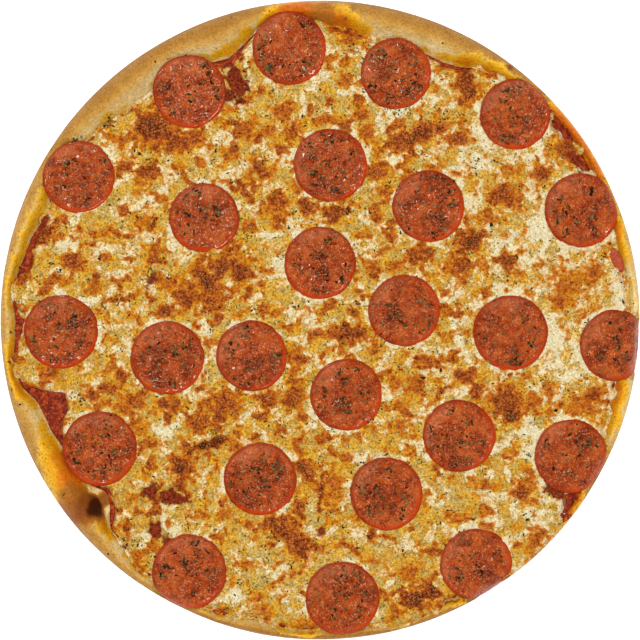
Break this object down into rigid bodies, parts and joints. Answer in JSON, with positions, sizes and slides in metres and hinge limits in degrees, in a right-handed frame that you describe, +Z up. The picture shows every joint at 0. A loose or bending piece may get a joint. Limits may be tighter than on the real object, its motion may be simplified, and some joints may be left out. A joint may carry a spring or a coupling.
{
  "type": "pepperoni pizza",
  "caption": "Whole round pizza with a raised uneven rim, tomato sauce, melted browned cheese, dried herbs and pepperoni slices out to the edge.",
  "frame": {"origin": "centre of the underside, on the surface the pizza lies on", "axes": "+Z up through the toppings, +X to the right and +Y to the top of the picture"},
  "size_m": [0.305, 0.305, 0.0182],
  "materials": {
    "baked_crust": "baked dough, dry, tan to golden, browned at the outer edge",
    "tomato_sauce": "cooked tomato sauce, dark red, oily",
    "melted_cheese": "melted cheese, cream to yellow with orange-brown blisters and dark herb flakes",
    "cooked_ham": "cooked cured meat, pink-red, oily",
    "pepperoni": "baked cured sausage, orange-red, mottled, oily"
  },
  "bodies": {
    "root": {"crust": "baked_crust", "sauce": "tomato_sauce", "cheese": "melted_cheese", "ham_sliver": "cooked_ham", "pepperoni_01": "pepperoni", "pepperoni_02": "pepperoni", "pepperoni_03": "pepperoni", "pepperoni_04": "pepperoni", "pepperoni_05": "pepperoni", "pepperoni_06": "pepperoni", "pepperoni_07": "pepperoni", "pepperoni_08": "pepperoni", "pepperoni_09": "pepperoni", "pepperoni_10": "pepperoni", "pepperoni_11": "pepperoni", "pepperoni_12": "pepperoni", "pepperoni_13": "pepperoni", "pepperoni_14": "pepperoni", "pepperoni_15": "pepperoni", "pepperoni_16": "pepperoni", "pepperoni_17": "pepperoni", "pepperoni_18": "pepperoni", "pepperoni_19": "pepperoni", "pepperoni_20": "pepperoni", "pepperoni_21": "pepperoni", "pepperoni_22": "pepperoni", "pepperoni_23": "pepperoni", "pepperoni_24": "pepperoni", "pepperoni_25": "pepperoni"}
  },
  "joints": []
}
